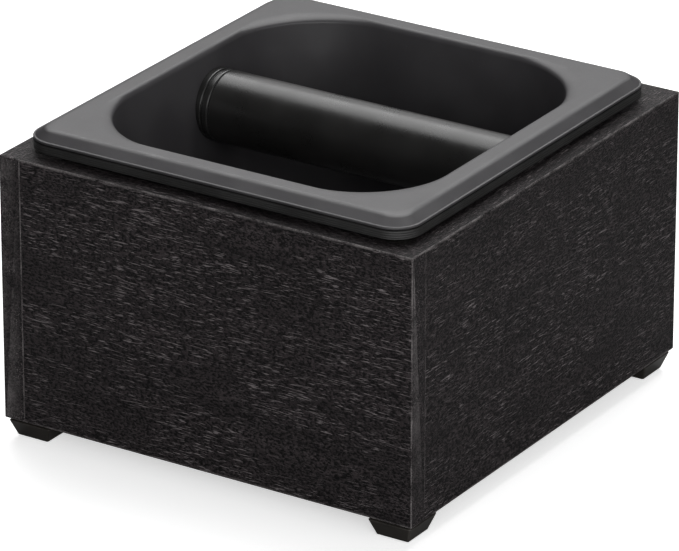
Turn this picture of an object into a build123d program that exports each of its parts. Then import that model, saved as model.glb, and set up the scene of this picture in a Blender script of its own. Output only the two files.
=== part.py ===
from build123d import *
import os

# Espresso knock box: a stained wooden case on four feet with a lift-out insert.
# Millimetres, +Z up, +Y to the back, origin under the middle of the case on the
# surface that the feet stand on. The insert is a moulded pan with a knock bar
# screwed across it; it stands on the case's base and lifts straight out.

# --- case ---------------------------------------------------------------
CASE_X = 176.0
CASE_Y = 186.0
CASE_H = 104.0
BOARD_T = 9.0
BASE_T = 12.0
ARRIS_R = 0.7          # rounding of the case's outer edges
FOOT_H = 7.8           # case's lower edge above the standing surface
BLOCK_SIDE = 14.0      # corner posts inside, from the base up to the case's top

DOWEL_R = 2.0
DOWEL_IN_FACE = 6.0    # dowel's depth in the board it is pressed against
DOWEL_IN_END = 12.0    # dowel's depth in the butting board's end
DOWEL_HEIGHTS = (20.0, 52.0, 84.0)

# --- feet ---------------------------------------------------------------
FOOT_SIDE = 18.0       # widest, just under the bevel
FOOT_BOTTOM = 13.3
FOOT_BEVEL = 1.3
FOOT_CORNER_R = 0.6
FOOT_INSET = 1.0       # foot's widest edge in from the case's faces
PAD_R = 3.8
PAD_PROUD = 0.4
PAD_T = 2.0
FOOT_SCREW_IN = 2.0    # screw and pad from the foot's middle, away from the boards
FOOT_SCREW_R = 1.75
FOOT_SCREW_HEAD_R = 3.2
FOOT_SCREW_HEAD_H = 1.9
FOOT_SCREW_L = 27.0

# --- pan (centred on its own middle, then stood in the case) -------------
INSERT_Y = -2.0        # the insert stands loose, a little to the front of the case
RIM_X = 163.5          # over the rim, about as wide as a one-sixth catering pan
RIM_Y = 171.5
RIM_R = 11.0
RIM_RISE = 9.6         # flange's top above the top of the case
RIM_GAP = 1.8          # band's lower edge above the top of the case
PAN_WALL = 2.2
FLANGE_W = 13.0        # rim's outer edge to the opening
SHOULDER_RUN = 4.2
SHOULDER_DROP = 3.0
LIP_H = 1.0
LIP_LEDGE = 0.8
GROOVE_H = 0.4
OPENING_R = 38.0
DRAFT_IN = 8.0         # how far each wall leans in from opening to floor
OPENING_EDGE_R = 2.4
FLOOR_R = 12.0
BAND_T = 2.0
BAND_EDGE_R = 0.5

# --- knock bar ----------------------------------------------------------
BAR_R = 13.8
BAR_Y = 18.5           # bar's axis behind the middle of the pan
BAR_DROP = 22.0        # bar's axis below the flange
CORE_R = 8.0
CORE_HALF = 64.0
SLEEVE_HALF = 62.0
CAP_GROOVE_X = 64.4
CAP_GROOVE_W = 0.8
CAP_GROOVE_DEPTH = 0.7
SCREW_R = 3.0
SCREW_TIP_X = 54.0
CORE_HOLE_X = 52.0
SEAL_R = 8.0
SEAL_OUT_X = 71.5
WASHER_R = 7.5
WASHER_T = 1.2
HEAD_R = 5.5
HEAD_H = 3.2
HEX_AF = 4.0
HEX_DEPTH = 2.0

# --- worked out ---------------------------------------------------------
CASE_Z0 = FOOT_H
CASE_Z1 = FOOT_H + CASE_H
BASE_TOP = CASE_Z0 + BASE_T
FLANGE_Z = CASE_Z1 + RIM_RISE
IN_X = CASE_X / 2 - BOARD_T
IN_Y = CASE_Y / 2 - BOARD_T
LIP_TOP = FLANGE_Z - SHOULDER_DROP
LIP_Z = LIP_TOP - LIP_H
BAND_Z0 = CASE_Z1 + RIM_GAP
BAND_Z1 = LIP_Z - GROOVE_H
OPEN_X = RIM_X - 2 * FLANGE_W
OPEN_Y = RIM_Y - 2 * FLANGE_W
FLOOR_Z = BASE_TOP + PAN_WALL
BAR_Z = FLANGE_Z - BAR_DROP
FOOT_X = CASE_X / 2 - FOOT_INSET - FOOT_SIDE / 2
FOOT_Y = CASE_Y / 2 - FOOT_INSET - FOOT_SIDE / 2


def block(x0, x1, y0, y1, z0, z1):
    """Box between two opposite corners."""
    return Pos((x0 + x1) / 2, (y0 + y1) / 2, (z0 + z1) / 2) * Box(x1 - x0, y1 - y0, z1 - z0)


def slab(x, y, r, z0, z1):
    """Rounded rectangle, x by y with corners r, extruded from z0 to z1."""
    return extrude(Pos(0, 0, z0) * RectangleRounded(x, y, r), z1 - z0)


def frustum(x, y, r, z0, shrink, z1):
    """Rounded rectangle at z0 whose sides have moved in by shrink at z1."""
    low = Pos(0, 0, z0) * RectangleRounded(x, y, r)
    high = Pos(0, 0, z1) * RectangleRounded(x - 2 * shrink, y - 2 * shrink, r - shrink)
    return loft([low, high], ruled=True)


def rod_x(r, x0, x1, y=0.0, z=0.0):
    """Round rod along X."""
    return Pos((x0 + x1) / 2, y, z) * Rot(0, 90, 0) * Cylinder(r, x1 - x0)


def rod_y(r, y0, y1, x=0.0, z=0.0):
    """Round rod along Y."""
    return Pos(x, (y0 + y1) / 2, z) * Rot(90, 0, 0) * Cylinder(r, y1 - y0)


def rod_z(r, z0, z1, x=0.0, y=0.0):
    """Round rod along Z."""
    return Pos(x, y, (z0 + z1) / 2) * Cylinder(r, z1 - z0)


def taper(low_side, high_side, r, z0, z1):
    """Square block whose side changes evenly from z0 to z1, with its corners just eased."""
    low = Pos(0, 0, z0) * RectangleRounded(low_side, low_side, r)
    high = Pos(0, 0, z1) * RectangleRounded(high_side, high_side, r)
    return loft([low, high], ruled=True)


def join(shapes):
    """One compound that keeps each shape as its own solid."""
    return Compound(children=[s.solid() for s in shapes])


def save(node, shape):
    """Write one node's STEP file."""
    export_step(shape, f"parts/{node}.step")


# --- case ---------------------------------------------------------------
def case_shell():
    """Four walls in one piece, with every outer edge eased."""
    outer = block(-CASE_X / 2, CASE_X / 2, -CASE_Y / 2, CASE_Y / 2, CASE_Z0, CASE_Z1)
    outer = fillet(outer.edges(), ARRIS_R)
    return outer - block(-IN_X, IN_X, -IN_Y, IN_Y, CASE_Z0 - 1, CASE_Z1 + 1)


def corner_dowels():
    """Three dowels in each corner joint, from the butting board's end into the other's face."""
    mid_x = CASE_X / 2 - BOARD_T / 2
    mid_y = CASE_Y / 2 - BOARD_T / 2
    dowels = []
    for height in DOWEL_HEIGHTS:
        z = CASE_Z0 + height
        for side in (-1, 1):
            ends_x = sorted((side * (IN_X + DOWEL_IN_FACE), side * (IN_X - DOWEL_IN_END)))
            ends_y = sorted((-side * (IN_Y + DOWEL_IN_FACE), -side * (IN_Y - DOWEL_IN_END)))
            dowels.append(rod_x(DOWEL_R, *ends_x, y=side * mid_y, z=z))
            dowels.append(rod_y(DOWEL_R, *ends_y, x=side * mid_x, z=z))
    return dowels


def boards(shell, dowels):
    """The four walls, each running past one neighbour and butting against the other."""
    hx, hy = CASE_X / 2, CASE_Y / 2
    regions = {
        "left_panel": (-hx, -IN_X, -hy, IN_Y),
        "right_panel": (IN_X, hx, -IN_Y, hy),
        "front_panel": (-IN_X, hx, -hy, -IN_Y),
        "back_panel": (-hx, IN_X, IN_Y, hy),
    }
    panels = {}
    for node, region in regions.items():
        panel = shell & block(*region, CASE_Z0, CASE_Z1)
        for dowel in dowels:
            panel -= dowel
        panels[node] = panel
    return panels


def corners():
    """Signs of the four corners, with the names of their feet."""
    return {
        "front_left": (-1, -1),
        "front_right": (1, -1),
        "back_left": (-1, 1),
        "back_right": (1, 1),
    }


def foot_screw(x, y):
    """Countersunk wood screw, head down, through a foot and the base into a corner post."""
    shank = rod_z(FOOT_SCREW_R, PAD_T, PAD_T + FOOT_SCREW_L, x, y)
    head = Pos(x, y, PAD_T + FOOT_SCREW_HEAD_H / 2) * Cone(
        FOOT_SCREW_HEAD_R, FOOT_SCREW_R, FOOT_SCREW_HEAD_H)
    return shank + head


def foot(x, y, screw, pad):
    """Bevelled block that narrows downwards, recessed below for its screw and pad."""
    bevel_z = CASE_Z0 - FOOT_BEVEL
    body = taper(FOOT_BOTTOM, FOOT_SIDE, FOOT_CORNER_R, PAD_PROUD, bevel_z)
    top = taper(FOOT_SIDE, FOOT_SIDE - 2 * FOOT_BEVEL, FOOT_CORNER_R, bevel_z, CASE_Z0)
    return Pos(x, y, 0) * (body + top) - pad - screw


def build_case():
    """Boards, base, corner posts, dowels, feet and their screws and pads."""
    dowels = corner_dowels()
    base = block(-IN_X, IN_X, -IN_Y, IN_Y, CASE_Z0, BASE_TOP)
    blocks, screws, pads = [], [], []
    for name, (sx, sy) in corners().items():
        x, y = sx * (FOOT_X - FOOT_SCREW_IN), sy * (FOOT_Y - FOOT_SCREW_IN)
        screw = foot_screw(x, y)
        pad = rod_z(PAD_R, 0, PAD_T, x, y)
        xs = sorted((sx * IN_X, sx * (IN_X - BLOCK_SIDE)))
        ys = sorted((sy * IN_Y, sy * (IN_Y - BLOCK_SIDE)))
        blocks.append(block(*xs, *ys, BASE_TOP, CASE_Z1) - screw)
        base -= screw
        screws.append(screw)
        pads.append(pad)
        save(f"foot_{name}", foot(sx * FOOT_X, sy * FOOT_Y, screw, pad))
    for node, panel in boards(case_shell(), dowels).items():
        save(node, panel)
    save("base_panel", base)
    save("corner_blocks", join(blocks))
    save("panel_dowels", join(dowels))
    save("foot_screws", join(screws))
    save("foot_pads", join(pads))


# --- insert -------------------------------------------------------------
def place(node, shape):
    """Save a piece of the insert where the insert stands in the case."""
    save(node, Pos(0, INSERT_Y, 0) * shape)


def rim():
    """Flange, sloping shoulder, lip and the skirt that the band is stretched over."""
    step = LIP_LEDGE
    under = BAND_T + PAN_WALL
    top_in = under + SHOULDER_RUN - PAN_WALL
    skirt = slab(RIM_X - 2 * BAND_T, RIM_Y - 2 * BAND_T, RIM_R - BAND_T, BAND_Z0, LIP_Z)
    lip = slab(RIM_X, RIM_Y, RIM_R, LIP_Z, LIP_TOP)
    shoulder = frustum(RIM_X - 2 * step, RIM_Y - 2 * step, RIM_R - step, LIP_TOP,
                       SHOULDER_RUN, FLANGE_Z)
    hollow = slab(RIM_X - 2 * under, RIM_Y - 2 * under, RIM_R - under, BAND_Z0 - 1, LIP_Z)
    slope = frustum(RIM_X - 2 * under, RIM_Y - 2 * under, RIM_R - under, LIP_Z,
                    top_in - under, FLANGE_Z - PAN_WALL)
    return skirt + lip + shoulder - hollow - slope


def bowl(grow, z0):
    """The pan's tapering inside, or its outside when grown by the wall."""
    x, y, r = OPEN_X + 2 * grow, OPEN_Y + 2 * grow, OPENING_R + grow
    shape = frustum(x, y, r, FLANGE_Z, DRAFT_IN, z0)
    floor_edges = shape.faces().sort_by(Axis.Z)[0].edges()
    return fillet(floor_edges, FLOOR_R + grow)


def pan(holes):
    """Moulded pan: rim, tapering walls and flat floor, drilled for the bar's screws."""
    shape = rim() + bowl(PAN_WALL, BASE_TOP) - bowl(0, FLOOR_Z)
    inner = shape.faces().filter_by(Axis.Z).sort_by(Axis.Z)[-1].inner_wires()[0].edges()
    shape = fillet(inner, OPENING_EDGE_R)
    for hole in holes:
        shape -= hole
    return shape


def rim_band():
    """Rubber band round the skirt, flush with the lip, above the case by the gap."""
    band = slab(RIM_X, RIM_Y, RIM_R, BAND_Z0, BAND_Z1)
    band = fillet(band.faces().sort_by(Axis.Z)[0].edges(), BAND_EDGE_R)
    return band - slab(RIM_X - 2 * BAND_T, RIM_Y - 2 * BAND_T, RIM_R - BAND_T, BAND_Z0, BAND_Z1)


def bar_screw(side):
    """Button-head socket screw through the pan's wall into the bar's core."""
    head_x = SEAL_OUT_X + WASHER_T
    shank = rod_x(SCREW_R, SCREW_TIP_X, head_x, BAR_Y, BAR_Z)
    head = fillet(rod_x(HEAD_R, head_x, head_x + HEAD_H).edges().sort_by(Axis.X)[-1], HEAD_H / 2)
    head = Pos(0, BAR_Y, BAR_Z) * head
    socket = Pos(head_x + HEAD_H - HEX_DEPTH, BAR_Y, BAR_Z) * Rot(0, 90, 0) * extrude(
        RegularPolygon(HEX_AF / 2, 6, major_radius=False), HEX_DEPTH)
    screw = shank + head - socket
    return screw if side > 0 else mirror(screw, Plane.YZ)


def bar_end(side, inside, outside):
    """End cap inside the wall, sealing wedge and washer outside it, on one end of the bar."""
    cap = rod_x(BAR_R, SLEEVE_HALF, OPEN_X / 2, BAR_Y, BAR_Z) & inside
    ring = rod_x(BAR_R, CAP_GROOVE_X, CAP_GROOVE_X + CAP_GROOVE_W, BAR_Y, BAR_Z)
    ring -= rod_x(BAR_R - CAP_GROOVE_DEPTH, CAP_GROOVE_X, CAP_GROOVE_X + CAP_GROOVE_W, BAR_Y, BAR_Z)
    bore = rod_x(SCREW_R, SCREW_TIP_X, SEAL_OUT_X + WASHER_T, BAR_Y, BAR_Z)
    seat = rod_x(CORE_R, SLEEVE_HALF, CORE_HALF, BAR_Y, BAR_Z)
    seal_from = SEAL_OUT_X - 2 * PAN_WALL
    seal = rod_x(SEAL_R, seal_from, SEAL_OUT_X, BAR_Y, BAR_Z) - outside
    washer = rod_x(WASHER_R, SEAL_OUT_X, SEAL_OUT_X + WASHER_T, BAR_Y, BAR_Z)
    pieces = {"bar_cap": cap - ring - bore - seat, "bar_seal": seal - bore,
              "bar_washer": washer - bore}
    if side < 0:
        pieces = {name: mirror(piece, Plane.YZ) for name, piece in pieces.items()}
    return pieces


def build_insert():
    """Pan, band and the knock bar with its fittings."""
    inside, outside = bowl(0, FLOOR_Z), bowl(PAN_WALL, BASE_TOP)
    core = rod_x(CORE_R, -CORE_HALF, CORE_HALF, BAR_Y, BAR_Z)
    holes = []
    for side, name in ((-1, "left"), (1, "right")):
        for piece, shape in bar_end(side, inside, outside).items():
            place(f"{piece}_{name}", shape)
        place(f"bar_screw_{name}", bar_screw(side))
        ends = sorted((side * CORE_HOLE_X, side * SEAL_OUT_X))
        holes.append(rod_x(SCREW_R, *ends, BAR_Y, BAR_Z))
        core -= holes[-1]
    sleeve = rod_x(BAR_R, -SLEEVE_HALF, SLEEVE_HALF, BAR_Y, BAR_Z)
    sleeve -= rod_x(CORE_R, -SLEEVE_HALF, SLEEVE_HALF, BAR_Y, BAR_Z)
    place("bar_core", core)
    place("bar_sleeve", sleeve)
    place("pan", pan(holes))
    place("rim_band", rim_band())


os.makedirs("parts", exist_ok=True)
build_case()
build_insert()
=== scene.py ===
"""Espresso knock box: a stained wooden case on four feet, and the insert that lifts out of it.

The insert is a moulded pan with a ribbed rubber band under its rim and a sleeved knock bar
across its opening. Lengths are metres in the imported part's frame: +Z up, +Y to the back.
"""

import math

import bpy
import numpy as np
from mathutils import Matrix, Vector


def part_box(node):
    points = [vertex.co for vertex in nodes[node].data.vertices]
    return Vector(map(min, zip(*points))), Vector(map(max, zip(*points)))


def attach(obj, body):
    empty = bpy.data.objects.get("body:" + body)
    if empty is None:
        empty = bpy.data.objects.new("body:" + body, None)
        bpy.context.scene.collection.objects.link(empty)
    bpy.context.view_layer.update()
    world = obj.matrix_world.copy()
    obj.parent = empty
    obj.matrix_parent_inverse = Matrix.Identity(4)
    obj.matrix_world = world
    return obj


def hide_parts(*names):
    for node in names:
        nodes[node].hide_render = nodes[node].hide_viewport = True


MM = 0.001
HOLD = 0.12 * MM  # points held this far outside a rounded edge keep the flats flat
CLOSE = 0.006     # share of a side between a corner and the side's first point

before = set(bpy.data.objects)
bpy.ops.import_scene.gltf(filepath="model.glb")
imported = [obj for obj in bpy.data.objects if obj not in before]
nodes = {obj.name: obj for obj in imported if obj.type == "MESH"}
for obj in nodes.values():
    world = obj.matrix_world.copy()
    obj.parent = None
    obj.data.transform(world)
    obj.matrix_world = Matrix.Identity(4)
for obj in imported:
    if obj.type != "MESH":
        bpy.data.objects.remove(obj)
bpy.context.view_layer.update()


# --- surfaces -----------------------------------------------------------
def quarter(corner_steps, side_steps):
    """Shares turned and slid at each point of one quarter: first its corner, then its side.

    The side's first and last points lie close to the corners, so what is painted on a
    corner stays there.
    """
    arc = np.linspace(0, 1, corner_steps + 1)
    slide = np.concatenate([[CLOSE], np.linspace(0, 1, side_steps + 1)[1:-1], [1 - CLOSE]])
    return np.concatenate([arc, np.ones_like(slide)]), np.concatenate([np.zeros_like(arc), slide])


def corner_pattern(corner_steps, side_steps):
    """Pattern of a rounded rectangle, counter-clockwise, as four rows: kx, ky, cos, sin.

    Round a corner kx and ky stay at that corner's signs while the direction turns a
    quarter; along a side the direction stays and kx, ky slide to the next corner's signs.
    """
    turned, slid = quarter(corner_steps, side_steps)
    corner = np.arange(4)[:, None]
    sign_x = np.array([1, -1, -1, 1, 1])
    sign_y = np.array([1, 1, -1, -1, 1])
    angle = (corner + turned) * math.pi / 2
    kx = sign_x[corner] + slid * (sign_x[corner + 1] - sign_x[corner])
    ky = sign_y[corner] + slid * (sign_y[corner + 1] - sign_y[corner])
    return np.stack([kx, ky, np.cos(angle), np.sin(angle)]).reshape(4, -1)


def round_pattern(steps):
    """Pattern of a circle, counter-clockwise: no corners, only the direction."""
    angle = np.linspace(0, 2 * math.pi, steps, endpoint=False)
    still = np.zeros(steps)
    return np.stack([still, still, np.cos(angle), np.sin(angle)])


def loops(pattern, half_u, half_v, radius, along):
    """Stack of closed loops, (loop, point, uvw): u = ku*(half_u - r) + r*cos, v likewise, w = along."""
    ku, kv, cos, sin = pattern
    half_u, half_v, along = (np.asarray(a, float)[:, None] for a in (half_u, half_v, along))
    radius = np.asarray(radius, float)
    radius = radius[:, None] if radius.ndim == 1 else radius
    u = ku * (half_u - radius) + radius * cos
    v = kv * (half_v - radius) + radius * sin
    return np.stack([u, v, along + 0 * u], axis=-1)


def turned_to(axis, points):
    """Loops stacked along w, turned so that w runs along the named axis."""
    return np.roll(points, {"X": 1, "Y": 2, "Z": 0}[axis], axis=-1)


def eased(corners, radii, steps=5):
    """Profile through corners (across, along, ...), each turned into an arc of its radius.

    The arc touches the straight stretches radius*tan(turn/2) from the corner. Between the
    touching points it is the rational quadratic curve that has the corner as its middle
    point and cos(turn/2) as its weight, which is a circle's arc. Returns the profile's
    points and, for each, 1 on a convex arc and 0 elsewhere.
    """
    corners = np.asarray(corners, float)
    middle = corners[1:-1]
    back, on = corners[:-2] - middle, corners[2:] - middle
    back /= np.linalg.norm(back[:, :2], axis=1, keepdims=True)
    on /= np.linalg.norm(on[:, :2], axis=1, keepdims=True)
    turn = math.pi - np.arccos(np.clip((back[:, :2] * on[:, :2]).sum(1), -1, 1))
    reach = (np.asarray(radii, float) * np.tan(turn / 2))[:, None]
    start, end = middle + back * reach, middle + on * reach
    t = np.linspace(0, 1, steps + 1)[None, :, None]
    weights = ((1 - t) ** 2, 2 * t * (1 - t) * np.cos(turn / 2)[:, None, None], t**2)
    arcs = sum(w * p[:, None] for w, p in zip(weights, (start, middle, end))) / sum(weights)
    held = [(start + back * HOLD)[:, None], arcs, (end + on * HOLD)[:, None]]
    convex = (on[:, 0] * back[:, 1] - on[:, 1] * back[:, 0]) > 0
    edge = np.zeros((len(middle), steps + 3))
    edge[:, 1:-1] = convex[:, None]
    points = np.concatenate([corners[:1], np.concatenate(held, axis=1).reshape(-1, corners.shape[1]),
                             corners[-1:]])
    return points, np.concatenate([[0], edge.ravel(), [0]])


def skin(name, stack, edge=None, closed=False):
    """Object whose mesh passes through a stack of closed loops, (loop, point, xyz).

    Four-sided faces join each loop to the next. A closed stack joins its last loop to its
    first; an open one is covered by a flat face at each end. Edge is kept as an attribute.
    """
    count, around = stack.shape[:2]
    lower = np.arange(count if closed else count - 1)[:, None]
    upper = (lower + 1) % count
    here = np.arange(around)[None, :]
    there = (here + 1) % around
    quads = np.stack([lower * around + here, lower * around + there,
                      upper * around + there, upper * around + here], axis=-1).reshape(-1, 4)
    faces = quads.tolist()
    if not closed:
        faces.append(np.arange(around)[::-1].tolist())
        faces.append(((count - 1) * around + np.arange(around)).tolist())
    mesh = bpy.data.meshes.new(name)
    mesh.from_pydata(stack.reshape(-1, 3).tolist(), [], faces)
    mesh.polygons.foreach_set("use_smooth", np.ones(len(faces), bool))
    mesh.set_sharp_from_angle(angle=math.radians(50))
    if edge is not None:
        attribute = mesh.attributes.new("edge", "FLOAT", "POINT")
        attribute.data.foreach_set("value", np.broadcast_to(edge, stack.shape[:2]).astype(np.float32).ravel())
    made = bpy.data.objects.new(name, mesh)
    bpy.context.scene.collection.objects.link(made)
    return made


# --- shader building ----------------------------------------------------
def add(tree, kind, inputs=None, **settings):
    """Node with its settings, and its inputs by name or number from values or other sockets."""
    made = tree.nodes.new(kind)
    for key, value in settings.items():
        setattr(made, key, value)
    for key, value in (inputs or {}).items():
        if isinstance(value, bpy.types.NodeSocket):
            tree.links.new(value, made.inputs[key])
        else:
            made.inputs[key].default_value = value
    return made


def calc(tree, operation, *values, clamp=False):
    """Output of a Math node."""
    return add(tree, "ShaderNodeMath", dict(enumerate(values)), operation=operation,
               use_clamp=clamp).outputs[0]


def noise(tree, vector, scale=1.0, detail=2.0, roughness=0.5, distortion=0.0):
    """Value of a Noise texture."""
    return add(tree, "ShaderNodeTexNoise",
               {"Vector": vector, "Scale": scale, "Detail": detail, "Roughness": roughness,
                "Distortion": distortion}).outputs[0]


def ramp(tree, value, low, high, to_low=0.0, to_high=1.0):
    """Value brought from the range low..high to to_low..to_high, eased and clamped."""
    return add(tree, "ShaderNodeMapRange",
               {"Value": value, "From Min": low, "From Max": high, "To Min": to_low,
                "To Max": to_high}, interpolation_type="SMOOTHSTEP").outputs[0]


def stretch(tree, vector, scale):
    """Vector multiplied part by part."""
    return add(tree, "ShaderNodeVectorMath", {0: vector, 1: scale}, operation="MULTIPLY").outputs[0]


def blend_colour(tree, mask, first, second):
    """Colour that goes from first to second as the mask rises."""
    return add(tree, "ShaderNodeMix", {0: mask, 6: first, 7: second}, data_type="RGBA").outputs[2]


def scaled(tree, vector, factor):
    """Vector multiplied evenly."""
    return add(tree, "ShaderNodeVectorMath", {0: vector, 3: factor}, operation="SCALE").outputs[0]


def group(name, inputs, outputs):
    """Empty shader group with its sockets: inputs {label: (kind, value)}, outputs {label: kind}."""
    tree = bpy.data.node_groups.new(name, "ShaderNodeTree")
    for label, (kind, value) in inputs.items():
        socket = tree.interface.new_socket(label, in_out="INPUT", socket_type=f"NodeSocket{kind}")
        if value is not None:
            socket.default_value = value
    for label, kind in outputs.items():
        tree.interface.new_socket(label, in_out="OUTPUT", socket_type=f"NodeSocket{kind}")
    return tree, tree.nodes.new("NodeGroupInput").outputs, tree.nodes.new("NodeGroupOutput").inputs


def wood_grain_group():
    """Grain that runs along the vector's X: short pores, slow figure, fine fibre and grit under the stain."""
    tree, given, out = group("wood_grain", {"Vector": ("Vector", None), "Pore Size": ("Float", 1.0)},
                             {"Pores": "Float", "Figure": "Float", "Fibre": "Float", "Grit": "Float",
                              "Height": "Float"})
    put = tree.links.new
    sway = noise(tree, stretch(tree, given["Vector"], (9, 22, 22)), detail=3)
    bend = calc(tree, "MULTIPLY", calc(tree, "SUBTRACT", sway, 0.5), 0.006)
    bent = add(tree, "ShaderNodeVectorMath",
               {0: given["Vector"], 1: add(tree, "ShaderNodeCombineXYZ", {1: bend, 2: bend}).outputs[0]},
               operation="ADD").outputs[0]
    sized = stretch(tree, scaled(tree, bent, given["Pore Size"]), (210, 2500, 2500))
    pores = ramp(tree, noise(tree, sized, detail=2, roughness=0.55), 0.57, 0.68)
    patches = ramp(tree, noise(tree, stretch(tree, bent, (26, 70, 70)), detail=2), 0.38, 0.6, 0.15, 1.0)
    pores = calc(tree, "MULTIPLY", pores, patches)
    figure = noise(tree, stretch(tree, bent, (14, 160, 160)), detail=4, roughness=0.6)
    fibre = noise(tree, stretch(tree, bent, (900, 1900, 1900)), detail=2, roughness=0.7)
    grit = ramp(tree, noise(tree, stretch(tree, bent, (800, 1300, 1300)), detail=2, roughness=0.6), 0.4, 0.64)
    height = calc(tree, "ADD", calc(tree, "MULTIPLY", pores, 0.5),
                  calc(tree, "ADD", calc(tree, "MULTIPLY", fibre, 1.2), calc(tree, "MULTIPLY", figure, 0.3)))
    height = calc(tree, "ADD", height, calc(tree, "MULTIPLY", grit, 0.6))
    for label, value in (("Pores", pores), ("Figure", figure), ("Fibre", fibre), ("Grit", grit),
                         ("Height", height)):
        put(value, out[label])
    return tree


def moulded_group():
    """Fine pebbled skin of moulded plastic and rubber, with slow unevenness and a few specks."""
    tree, given, out = group("moulded_skin", {"Vector": ("Vector", None), "Pebble Size": ("Float", 0.4 * MM)},
                             {"Pebble": "Float", "Mottle": "Float", "Specks": "Float", "Height": "Float"})
    per = calc(tree, "DIVIDE", 1.0, given["Pebble Size"])
    pebble = noise(tree, scaled(tree, given["Vector"], per), detail=1.5, roughness=0.6)
    mottle = noise(tree, stretch(tree, given["Vector"], (55, 55, 55)), detail=4, roughness=0.55)
    specks = ramp(tree, noise(tree, stretch(tree, given["Vector"], (950, 950, 950)), detail=1), 0.72, 0.8)
    waves = noise(tree, stretch(tree, given["Vector"], (38, 38, 38)), detail=1)
    height = calc(tree, "ADD", calc(tree, "MULTIPLY", pebble, 0.25), calc(tree, "MULTIPLY", waves, 0.5))
    for label, value in (("Pebble", pebble), ("Mottle", mottle), ("Specks", specks), ("Height", height)):
        tree.links.new(value, out[label])
    return tree


def edge_wear_and_highlight_group():
    """Worn edges that also carry painted highlight: the edge attribute, broken up by two sizes of noise."""
    tree, given, out = group("edge_wear_and_highlight", {"Edge": ("Float", 0.0), "Vector": ("Vector", None),
                                           "Amount": ("Float", 0.5)}, {"Mask": "Float"})
    coarse = noise(tree, stretch(tree, given["Vector"], (120, 120, 120)), detail=3)
    fine = noise(tree, stretch(tree, given["Vector"], (1400, 1400, 1400)), detail=2)
    broken = calc(tree, "ADD", calc(tree, "MULTIPLY", coarse, 0.6), calc(tree, "MULTIPLY", fine, 0.4))
    reach = calc(tree, "SUBTRACT", 0.75, calc(tree, "MULTIPLY", given["Amount"], 0.5))
    limits = {"Value": broken, "From Min": calc(tree, "SUBTRACT", reach, 0.12),
              "From Max": calc(tree, "ADD", reach, 0.12)}
    rubbed_and_highlight = add(tree, "ShaderNodeMapRange", limits, interpolation_type="LINEAR").outputs[0]
    tree.links.new(calc(tree, "MULTIPLY", given["Edge"], rubbed_and_highlight, clamp=True), out["Mask"])
    return tree


def brushed_group():
    """Fine drawn or turned lines that run along the vector's X."""
    tree, given, out = group("brushed_lines", {"Vector": ("Vector", None)},
                             {"Lines": "Float", "Tarnish": "Float", "Height": "Float"})
    lines = noise(tree, stretch(tree, given["Vector"], (150, 6500, 6500)), detail=3, roughness=0.7)
    tarnish = noise(tree, stretch(tree, given["Vector"], (160, 160, 160)), detail=4, roughness=0.6)
    tree.links.new(lines, out["Lines"])
    tree.links.new(tarnish, out["Tarnish"])
    tree.links.new(lines, out["Height"])
    return tree


WOOD_GRAIN = wood_grain_group()
MOULDED = moulded_group()
EDGE_WEAR_AND_HIGHLIGHT = edge_wear_and_highlight_group()
BRUSHED = brushed_group()


def start_material(name, **fixed):
    """Material with its Principled shader, whose uniform values are set on its own sockets."""
    material = bpy.data.materials.new(name)
    material.use_nodes = True
    tree = material.node_tree
    shader = next(n for n in tree.nodes if n.type == "BSDF_PRINCIPLED")
    for label, value in fixed.items():
        shader.inputs[label.replace("_", " ")].default_value = value
    place = add(tree, "ShaderNodeTexCoord").outputs["Object"]
    return material, tree, shader, place


def bumped(tree, shader, height, distance):
    """Bump from a height, into the shader's normal."""
    bump = add(tree, "ShaderNodeBump", {"Strength": 1.0, "Distance": distance, "Height": height})
    tree.links.new(bump.outputs[0], shader.inputs["Normal"])


def grouped(tree, node_tree, inputs):
    """Outputs of a placed group."""
    return add(tree, "ShaderNodeGroup", inputs, node_tree=node_tree).outputs


def edge_wear_and_highlight_mask(tree, place, amount):
    """Mask of a piece's worn edges, which also carry painted highlight, from its edge attribute."""
    edge = add(tree, "ShaderNodeAttribute", attribute_name="edge").outputs["Fac"]
    return grouped(tree, EDGE_WEAR_AND_HIGHLIGHT, {"Edge": edge, "Vector": place, "Amount": amount})["Mask"]


def turned_grain(tree, place, turn):
    """Object coordinates turned by degrees, so that a pattern made along X runs another way."""
    angles = tuple(math.radians(angle) for angle in turn)
    return add(tree, "ShaderNodeMapping", {"Vector": place, "Rotation": angles}).outputs[0]


def grey(value, warm=0.0):
    """Linear grey, made warmer by a share."""
    return (value * (1 + warm), value, value * (1 - warm), 1)


def wood(name, turn, ground, pore, rubbed_and_highlight, rough=(0.42, 0.62), pore_size=1.0):
    """Wood whose grain runs along X, or along another axis after the turn (degrees)."""
    material, tree, shader, place = start_material(name, Specular_IOR_Level=0.2)
    grain = grouped(tree, WOOD_GRAIN, {"Vector": turned_grain(tree, place, turn), "Pore Size": pore_size})
    shade = calc(tree, "MULTIPLY", ramp(tree, grain["Figure"], 0.3, 0.7, 0.5, 1.0), grain["Grit"])
    colour = blend_colour(tree, shade, ground[0], ground[1])
    colour = blend_colour(tree, calc(tree, "MULTIPLY", grain["Pores"], 0.8), colour, pore)
    # Edges get a lighter colour: partly worn-through stain, partly painted highlight along the arrises.
    colour = blend_colour(tree, edge_wear_and_highlight_mask(tree, place, 0.5), colour, rubbed_and_highlight)
    tree.links.new(colour, shader.inputs["Base Color"])
    uneven = calc(tree, "ADD", calc(tree, "MULTIPLY", grain["Fibre"], 0.6),
                  calc(tree, "MULTIPLY", grain["Figure"], 0.4))
    tree.links.new(ramp(tree, uneven, 0.3, 0.7, rough[0], rough[1]), shader.inputs["Roughness"])
    bumped(tree, shader, grain["Height"], 0.3 * MM)
    return material


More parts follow.
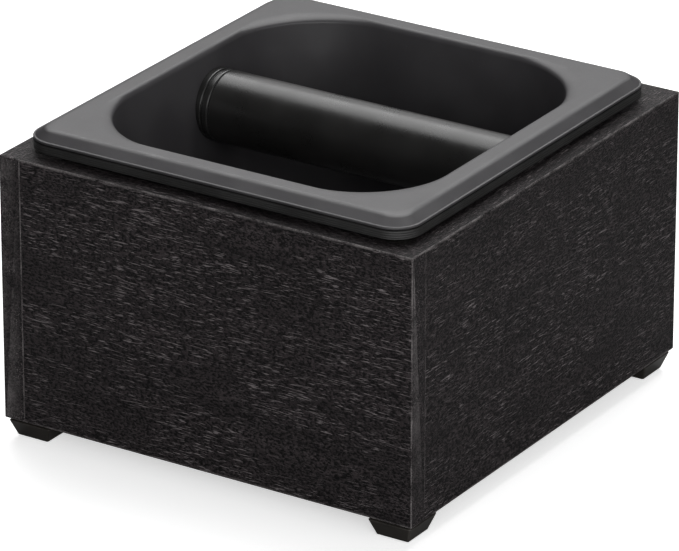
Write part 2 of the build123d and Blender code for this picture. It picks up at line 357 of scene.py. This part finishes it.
def moulded(name, ground, speck, rubbed_and_highlight, rough, wear_and_highlight=0.4, pebble=0.4 * MM):
    """Moulded plastic or rubber: pebbled skin, uneven gloss, and edges lightened partly by being worn and
    partly as painted highlight.
    """
    material, tree, shader, place = start_material(name, Specular_IOR_Level=0.5)
    skin_of = grouped(tree, MOULDED, {"Vector": place, "Pebble Size": pebble})
    colour = blend_colour(tree, ramp(tree, skin_of["Mottle"], 0.35, 0.65), ground[0], ground[1])
    colour = blend_colour(tree, calc(tree, "MULTIPLY", skin_of["Specks"], 0.35), colour, speck)
    # Lighter edges: worn skin and painted highlight together.
    rubbed_and_highlight_mask = edge_wear_and_highlight_mask(tree, place, wear_and_highlight)
    colour = blend_colour(tree, rubbed_and_highlight_mask, colour, rubbed_and_highlight)
    tree.links.new(colour, shader.inputs["Base Color"])
    uneven = ramp(tree, calc(tree, "ADD", calc(tree, "MULTIPLY", skin_of["Mottle"], 0.7),
                             calc(tree, "MULTIPLY", skin_of["Pebble"], 0.3)), 0.35, 0.65, rough[0], rough[1])
    smoother = calc(tree, "MULTIPLY", rubbed_and_highlight_mask, 0.08)
    tree.links.new(calc(tree, "SUBTRACT", uneven, smoother), shader.inputs["Roughness"])
    bumped(tree, shader, skin_of["Height"], 0.05 * MM)
    return material


def metal(name, turn, clean, dull, rough=(0.28, 0.45)):
    """Drawn or turned steel, with its lines along X or along another axis after the turn."""
    material, tree, shader, place = start_material(name, Metallic=1.0)
    lines = grouped(tree, BRUSHED, {"Vector": turned_grain(tree, place, turn)})
    tree.links.new(blend_colour(tree, ramp(tree, lines["Tarnish"], 0.4, 0.65), clean, dull),
                   shader.inputs["Base Color"])
    tree.links.new(ramp(tree, lines["Lines"], 0.3, 0.7, rough[0], rough[1]), shader.inputs["Roughness"])
    bumped(tree, shader, lines["Height"], 0.02 * MM)
    return material


GRAIN_X, GRAIN_Y, GRAIN_Z = (0, 0, 0), (0, 0, 90), (0, 90, 0)
BLACK_STAIN = ((0.0030, 0.0024, 0.0027, 1), (0.044, 0.036, 0.038, 1))
# The lighter edge colour stands partly for worn-through stain, partly for painted highlight on the arrises.
STAIN_PORE, STAIN_RUBBED_AND_HIGHLIGHT = (0.230, 0.205, 0.210, 1), (0.165, 0.152, 0.152, 1)
# In the wood and moulded finishes the last colour lightens the edges: partly worn surface, partly painted
# highlight.
finish = {
    "stained_x": wood("stained_wood_x", GRAIN_X, BLACK_STAIN, STAIN_PORE, STAIN_RUBBED_AND_HIGHLIGHT),
    "stained_y": wood("stained_wood_y", GRAIN_Y, BLACK_STAIN, STAIN_PORE, STAIN_RUBBED_AND_HIGHLIGHT),
    "base": wood("base_board", GRAIN_X, (grey(0.01, 0.1), grey(0.02, 0.12)), grey(0.03), grey(0.06),
                 rough=(0.6, 0.75)),
    "dowel": wood("dowel_wood", GRAIN_X, ((0.5, 0.35, 0.2, 1), (0.62, 0.46, 0.3, 1)), (0.3, 0.2, 0.12, 1),
                  (0.65, 0.5, 0.35, 1), rough=(0.5, 0.7), pore_size=1.6),
    "pan": moulded("pan_plastic", ((0.041, 0.039, 0.042, 1), (0.049, 0.047, 0.050, 1)), grey(0.09),
                   grey(0.06), (0.4, 0.5), wear_and_highlight=0.1),
    "band": moulded("band_rubber", (grey(0.010, 0.02), grey(0.015, 0.02)), grey(0.05), grey(0.03),
                    (0.45, 0.6)),
    "sleeve": moulded("sleeve_rubber", (grey(0.013, 0.03), grey(0.018, 0.03)), grey(0.05), grey(0.035),
                      (0.27, 0.36), pebble=0.5 * MM),
    "cap": moulded("cap_plastic", (grey(0.012, 0.02), grey(0.016, 0.02)), grey(0.05), grey(0.04),
                   (0.26, 0.36)),
    "foot": moulded("foot_plastic", (grey(0.012, 0.15), grey(0.018, 0.18)), grey(0.05), grey(0.05, 0.1),
                    (0.3, 0.42)),
    "pad": moulded("pad_rubber", (grey(0.014), grey(0.02)), grey(0.05), grey(0.04), (0.6, 0.75)),
    "seal": moulded("seal_rubber", (grey(0.015), grey(0.022)), grey(0.05), grey(0.04), (0.5, 0.65)),
    "core": metal("bar_steel", GRAIN_X, grey(0.55), grey(0.4, 0.03)),
    "zinc": metal("zinc_screw", GRAIN_Z, grey(0.6, 0.02), grey(0.42, 0.05)),
    "stainless": metal("stainless", GRAIN_X, grey(0.65), grey(0.55, 0.01), rough=(0.2, 0.34)),
}


def dress(made, body, slot, look, *stands_for):
    """A finished piece: its material, its body and the CAD nodes that it stands for; the slot is not used."""
    made.data.materials.clear()
    made.data.materials.append(finish[look])
    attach(made, body)
    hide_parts(*stands_for)
    return made


def refinish(node, look):
    """A CAD node that keeps its own shape and gets a finish."""
    for place in nodes[node].material_slots:
        place.material = finish[look]


# --- wooden case --------------------------------------------------------
ARRIS = 0.38 * MM  # rounding of the case's outer edges
JOINT = 0.18 * MM  # rounding where one board meets another
BOARD_ROWS = 14


def board(node, axis, radii, end_radii, look):
    """Board whose outer edges are eased and whose edges at the joints stay crisp.

    Loops are rounded rectangles across the board, stacked along it. Radii are those of
    the four long edges, counter-clockwise from the corner where both cross coordinates
    are highest. Near an end the loops shrink as the end's quarter-round does.
    """
    low, high = (np.array(corner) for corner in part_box(node))
    turn = {"X": -1, "Y": -2}[axis]
    (u0, v0, w0), (u1, v1, w1) = np.roll(low, turn), np.roll(high, turn)
    half_u, half_v, length = (u1 - u0) / 2, (v1 - v0) / 2, w1 - w0
    steps = (5, 6)
    pattern = corner_pattern(*steps)
    first, last = end_radii
    profile, end_edge = eased([(-1, 0), (0, 0), (0, length), (-1, length)], [first, last], steps=5)
    inset = -np.clip(profile[:, 0], -0.4 * MM - max(end_radii), 0)
    middle = len(profile) // 2
    rows = np.linspace(profile[middle - 1, 1], profile[middle, 1], BOARD_ROWS)[1:-1]
    inset = np.concatenate([inset[:middle], np.zeros(len(rows)), inset[middle:]])
    along = np.concatenate([profile[:middle, 1], rows, profile[middle:, 1]])
    end_edge = np.concatenate([end_edge[:middle], np.zeros(len(rows)), end_edge[middle:]])
    corner = np.repeat(np.arange(4), pattern.shape[1] // 4)
    share = np.tile(quarter(*steps)[1], 4)
    each = np.array(radii)[corner] * (1 - share) + np.array(radii)[(corner + 1) % 4] * share
    hand = 1 + 0.06 * np.sin(along / length * 11 + length * 90) * np.sin(along * 170)
    radius = np.maximum(each[None, :] * hand[:, None] - inset[:, None], 0.03 * MM)
    stack = loops(pattern, half_u - inset, half_v - inset, radius, along + w0)
    stack += np.array([(u0 + u1) / 2, (v0 + v1) / 2, 0])
    # Outer arrises get the full edge lightening (worn stain and painted highlight), joint ends only a quarter
    # of it.
    on_corner = (share == 0) & (each > 0.3 * MM)
    outer_end = np.array([first, last])[(along > length / 2).astype(int)] > 0.3 * MM
    edge = np.maximum(on_corner[None, :].astype(float), (end_edge * np.where(outer_end, 1, 0.25))[:, None])
    return dress(skin(node.replace("panel", "board"), turned_to(axis, stack), edge), "case",
                 "stained_wood", look, node)


# long edges run counter-clockwise from (+, +) in the board's two cross directions
board("front_panel", "X", (JOINT, ARRIS, ARRIS, JOINT), (JOINT, ARRIS), "stained_x")
board("back_panel", "X", (ARRIS, JOINT, JOINT, ARRIS), (ARRIS, JOINT), "stained_x")
board("left_panel", "Y", (JOINT, JOINT, ARRIS, ARRIS), (ARRIS, JOINT), "stained_y")
board("right_panel", "Y", (ARRIS, ARRIS, JOINT, JOINT), (JOINT, ARRIS), "stained_y")


# --- feet ---------------------------------------------------------------
PAD_R = 3.8 * MM
pads_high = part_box("foot_pads")[1]


def foot_piece(node):
    """Foot: a square block that narrows downwards, eased all over, recessed for its pad.

    Profile carried round a square with small corners: up out of the pad's round recess,
    out along the underside, up the sloping sides, round the widest edge, in along the
    bevel, over the top. The recess's loops are shifted inwards to the pad's middle.
    """
    low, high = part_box(node)
    middle = np.array([(low.x + high.x) / 2, (low.y + high.y) / 2, 0])
    inwards = math.copysign(pads_high.x - PAD_R, middle[0]) - middle[0]
    half, recess = (high.x - low.x) / 2, PAD_R + 0.1 * MM
    corners = [
        (recess - 0.8 * MM, pads_high.z, recess - 0.8 * MM, 1),
        (recess, pads_high.z, recess, 1),
        (recess, low.z, recess, 1),
        (half - 2.35 * MM, low.z, 0.5 * MM, 0),
        (half, high.z - 1.3 * MM, 0.8 * MM, 0),
        (half - 1.3 * MM, high.z, 0.6 * MM, 0),
        (half - 3.0 * MM, high.z, 0.5 * MM, 0),
    ]
    profile, edge = eased(corners, np.array([0.1, 0.2, 0.25, 0.3, 0.12]) * MM)
    stack = loops(corner_pattern(7, 5), profile[:, 0], profile[:, 0], profile[:, 2], profile[:, 1])
    shift = profile[:, 3, None] * np.array([inwards, math.copysign(inwards, -middle[1]), 0])
    on_corner = np.tile(quarter(7, 5)[1] == 0, 4)
    edge = np.maximum(edge[:, None], on_corner * (profile[:, 3, None] == 0))
    return dress(skin(node + "_block", stack + middle + shift[:, None], edge), "case", "foot_plastic",
                 "foot", node)


for corner in ("front_left", "front_right", "back_left", "back_right"):
    foot_piece(f"foot_{corner}")


# --- pan ----------------------------------------------------------------
pan_low, pan_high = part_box("pan")
band_low, band_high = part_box("rim_band")
PAN_MIDDLE = np.array([(pan_low.x + pan_high.x) / 2, (pan_low.y + pan_high.y) / 2, 0])
RIM_R = 11  # millimetres, as rim_row takes it
RIM_X, RIM_Y = (pan_high.x - pan_low.x) / 2, (pan_high.y - pan_low.y) / 2
FLANGE_Z, STAND_Z = pan_high.z, pan_low.z
WALL = 2.2 * MM
DRAFT = 8 * MM


def rim_row(inset, z, radius):
    """Profile point: half width, height, half length and corner radius that far in from the rim."""
    return (RIM_X - inset * MM, z, RIM_Y - inset * MM, radius * MM)


def pan_piece():
    """Pan: one closed profile carried round a rounded rectangle.

    It starts under the floor and goes up the outside of the tapering wall, out under the
    flange, down the inside of the skirt, round the skirt's lower edge, up to the bead of
    the lip, up the sloping shoulder, in over the flat flange, over the opening's rounded
    edge, down the inside and round the wide curve into the floor.
    """
    floor = STAND_Z + WALL
    under = FLANGE_Z - WALL
    leaned = 8.0 * WALL / (FLANGE_Z - STAND_Z)
    lip_top, lip_low = FLANGE_Z - 3.0 * MM, FLANGE_Z - 4.0 * MM
    corners = [
        rim_row(36, STAND_Z, 16),
        rim_row(18.8, STAND_Z, 32.2),
        rim_row(10.8 + leaned, under, 40.2 - leaned),
        rim_row(6.2, under, 4.8),
        rim_row(4.2, lip_low, 6.8),
        rim_row(4.2, band_low.z, 6.8),
        rim_row(2.0, band_low.z, 9),
        rim_row(2.0, lip_low, 9),
        rim_row(0.0, lip_low, RIM_R),
        rim_row(0.0, lip_top, RIM_R),
        rim_row(0.8, lip_top, RIM_R - 0.8),
        rim_row(5.0, FLANGE_Z, RIM_R - 5),
        rim_row(13.0, FLANGE_Z, 38),
        rim_row(21.0, floor, 30),
        rim_row(38, floor, 14),
    ]
    radii = [14.2, 2.0, 0.8, 0.6, 0.5, 0.5, 0.12, 0.42, 0.42, 0.12, 4.5, 2.4, 12]
    profile, edge = eased(corners, np.array(radii) * MM, steps=8)
    stack = loops(corner_pattern(22, 14), profile[:, 0], profile[:, 2], profile[:, 3], profile[:, 1])
    return dress(skin("pan_shell", stack + PAN_MIDDLE, edge[:, None]), "insert", "pan_plastic", "pan", "pan")


def band_piece():
    """Rubber band: fine ribs run round its outside; the inside lies flat on the skirt.

    The outside's half width follows a cosine of four waves between rounded edges.
    """
    thick, ribs, depth = 2.0 * MM, 4, 0.16 * MM
    rise = np.linspace(0, 1, 41)
    foot_round = np.maximum(0, 1 - rise / 0.12) ** 2 * 0.5 * MM
    top_round = np.maximum(0, (rise - 0.94) / 0.06) ** 2 * 0.15 * MM
    ribbed = depth * (0.5 - 0.5 * np.cos(2 * math.pi * ribs * (rise - 0.06)))
    outer = foot_round + top_round + ribbed * (rise > 0.08) * (rise < 0.95)
    z = band_low.z + rise * (band_high.z - band_low.z)
    inset = np.concatenate([outer, [thick, thick]])
    z = np.concatenate([z, z[[-1, 0]]])
    edge = np.concatenate([(outer < 0.04 * MM).astype(float), [0, 0]])
    stack = loops(corner_pattern(16, 10), RIM_X - inset, RIM_Y - inset, RIM_R * MM - inset, z)
    return dress(skin("rim_band_ribbed", stack + PAN_MIDDLE, edge[:, None], closed=True), "insert",
                 "band_rubber", "band", "rim_band")


pan_piece()
band_piece()


# --- knock bar ----------------------------------------------------------
sleeve_low, sleeve_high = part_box("bar_sleeve")
BAR_Y, BAR_Z = (sleeve_low.y + sleeve_high.y) / 2, (sleeve_low.z + sleeve_high.z) / 2
BAR_R, SLEEVE_END = (sleeve_high.z - sleeve_low.z) / 2, sleeve_high.x
CORE_R = 8 * MM
CAP_GROOVE = (64.4 * MM, 65.2 * MM)  # along the bar, from its middle
WALL_LEAN = DRAFT / (FLANGE_Z - STAND_Z - WALL)


def round_stack(profile, steps=96):
    """Profile of (radius, along) points turned about the bar's axis."""
    radius = profile[:, 0]
    stack = turned_to("X", loops(round_pattern(steps), radius, radius, radius, profile[:, 1]))
    return stack + np.array([0, BAR_Y, BAR_Z])


def sleeve_piece():
    """Rubber sleeve: a tube with softly rounded ends."""
    corners = [(CORE_R + 1 * MM, -SLEEVE_END), (BAR_R, -SLEEVE_END), (BAR_R, SLEEVE_END),
               (CORE_R, SLEEVE_END), (CORE_R, -SLEEVE_END), (CORE_R + 1.5 * MM, -SLEEVE_END)]
    profile, edge = eased(corners, np.array([0.7, 0.7, 0.3, 0.3]) * MM)
    return dress(skin("bar_sleeve_tube", round_stack(profile[1:]), edge[1:, None], closed=True), "insert",
                 "sleeve_rubber", "sleeve", "bar_sleeve")


def cap_piece(side, node):
    """End cap: two ring beads with a groove between, its outer end slanted to the pan's wall.

    Turned profile; past the groove the along coordinate is sheared by the wall's lean.
    """
    low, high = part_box(node)
    wall_x = max(abs(low.x), abs(high.x)) - BAR_R * WALL_LEAN
    inner, groove = SLEEVE_END + 0.05 * MM, CAP_GROOVE
    deep = BAR_R - 0.7 * MM
    corners = [(CORE_R - 2 * MM, inner + 2 * MM), (CORE_R, inner + 2 * MM), (CORE_R, inner),
               (BAR_R, inner), (BAR_R, groove[0]), (deep, groove[0]), (deep, groove[1]),
               (BAR_R, groove[1]), (BAR_R, wall_x), (CORE_R, wall_x)]
    profile, edge = eased(corners, np.array([0.1, 0.1, 0.6, 0.45, 0.12, 0.12, 0.4, 0.35]) * MM)
    stack = round_stack(profile)
    share = np.clip((stack[..., 0] - groove[1]) / (wall_x - groove[1]), 0, 1)
    stack[..., 0] += share * WALL_LEAN * (stack[..., 2] - BAR_Z)
    if side < 0:
        stack = stack[:, ::-1] * np.array([-1, 1, 1])
    return dress(skin(node + "_rings", stack, edge[:, None]), "insert", "cap_plastic", "cap", node)


sleeve_piece()
cap_piece(-1, "bar_cap_left")
cap_piece(1, "bar_cap_right")

for node, look in {
    "base_panel": "base", "corner_blocks": "base", "panel_dowels": "dowel", "foot_screws": "zinc",
    "foot_pads": "pad", "bar_core": "core", "bar_seal_left": "seal", "bar_seal_right": "seal",
    "bar_washer_left": "stainless", "bar_washer_right": "stainless", "bar_screw_left": "stainless",
    "bar_screw_right": "stainless",
}.items():
    refinish(node, look)


# --- studio -------------------------------------------------------------
FLOOR_GLOW = 0.55  # lifts the sheet to white, so that only the shadow by the feet shows


def studio_floor():
    """Large pale sheet under the object."""
    mesh = bpy.data.meshes.new("studio_floor")
    reach, level = 6, -0.1 * MM  # just below the pads
    mesh.from_pydata([(-reach, -reach, level), (reach, -reach, level), (reach, reach, level),
                      (-reach, reach, level)], [], [(0, 1, 2, 3)])
    made = bpy.data.objects.new("studio_floor", mesh)
    bpy.context.scene.collection.objects.link(made)
    material, tree, shader, place = start_material("pale_floor", Roughness=0.9, Specular_IOR_Level=0.0,
                                                   Emission_Strength=FLOOR_GLOW)
    tone = noise(tree, stretch(tree, place, (3, 3, 3)), detail=2)
    seen = add(tree, "ShaderNodeLightPath").outputs["Is Camera Ray"]
    paper = blend_colour(tree, tone, grey(0.9), grey(0.92))
    tree.links.new(blend_colour(tree, seen, grey(0.3), paper), shader.inputs["Base Color"])
    tree.links.new(blend_colour(tree, seen, grey(0.0), grey(1.0)), shader.inputs["Emission Color"])
    mesh.materials.append(material)


def soft_light(name, towards, distance, size, power, aim=(0, 0, 0.08)):
    """Square area light that faces the aim from the given direction."""
    light = bpy.data.lights.new(name, "AREA")
    light.shape, light.size, light.energy = "SQUARE", size, power
    made = bpy.data.objects.new(name, light)
    bpy.context.scene.collection.objects.link(made)
    away = Vector(towards).normalized()
    made.location = Vector(aim) + away * distance
    made.rotation_euler = away.to_track_quat("Z", "Y").to_euler()
    return made


def room_light(strength, seen):
    """Even room light; the backdrop is seen as white."""
    world = bpy.data.worlds.new("room")
    world.use_nodes = True
    tree = world.node_tree
    tree.nodes.clear()
    ray = add(tree, "ShaderNodeLightPath").outputs["Is Camera Ray"]
    even = add(tree, "ShaderNodeBackground", {"Color": (1, 1, 1, 1), "Strength": strength})
    white = add(tree, "ShaderNodeBackground", {"Color": (1, 1, 1, 1), "Strength": seen})
    mixed = add(tree, "ShaderNodeMixShader", {0: ray, 1: even.outputs[0], 2: white.outputs[0]})
    add(tree, "ShaderNodeOutputWorld", {0: mixed.outputs[0]})
    bpy.context.scene.world = world


def camera_at(azimuth, elevation, lens, distance, aim):
    """Camera that looks at the aim from the given bearing and height."""
    bearing, rise = math.radians(azimuth), math.radians(elevation)
    away = Vector((math.sin(bearing) * math.cos(rise), -math.cos(bearing) * math.cos(rise), math.sin(rise)))
    data = bpy.data.cameras.new("camera")
    data.lens, data.sensor_width = lens, 36
    made = bpy.data.objects.new("camera", data)
    bpy.context.scene.collection.objects.link(made)
    made.location = Vector(aim) + away * distance
    made.rotation_euler = away.to_track_quat("Z", "Y").to_euler()
    bpy.context.scene.camera = made


studio_floor()
room_light(0.06, 1.05)
soft_light("overhead", (-0.25, 0.5, 1.0), 1.6, 1.6, 29)
soft_light("back_panel", (-0.54, 0.84, 0.43), 1.3, 0.9, 2)
soft_light("right_side", (1.0, -0.15, 0.35), 1.6, 1.0, 6)
soft_light("front_right", (0.65, -1.0, 0.3), 1.0, 0.9, 7)
camera_at(32.65, 23.45, 326.07, 2.255, (0.006, -0.012, 0.0568))
bpy.context.scene.view_settings.view_transform = "Standard"
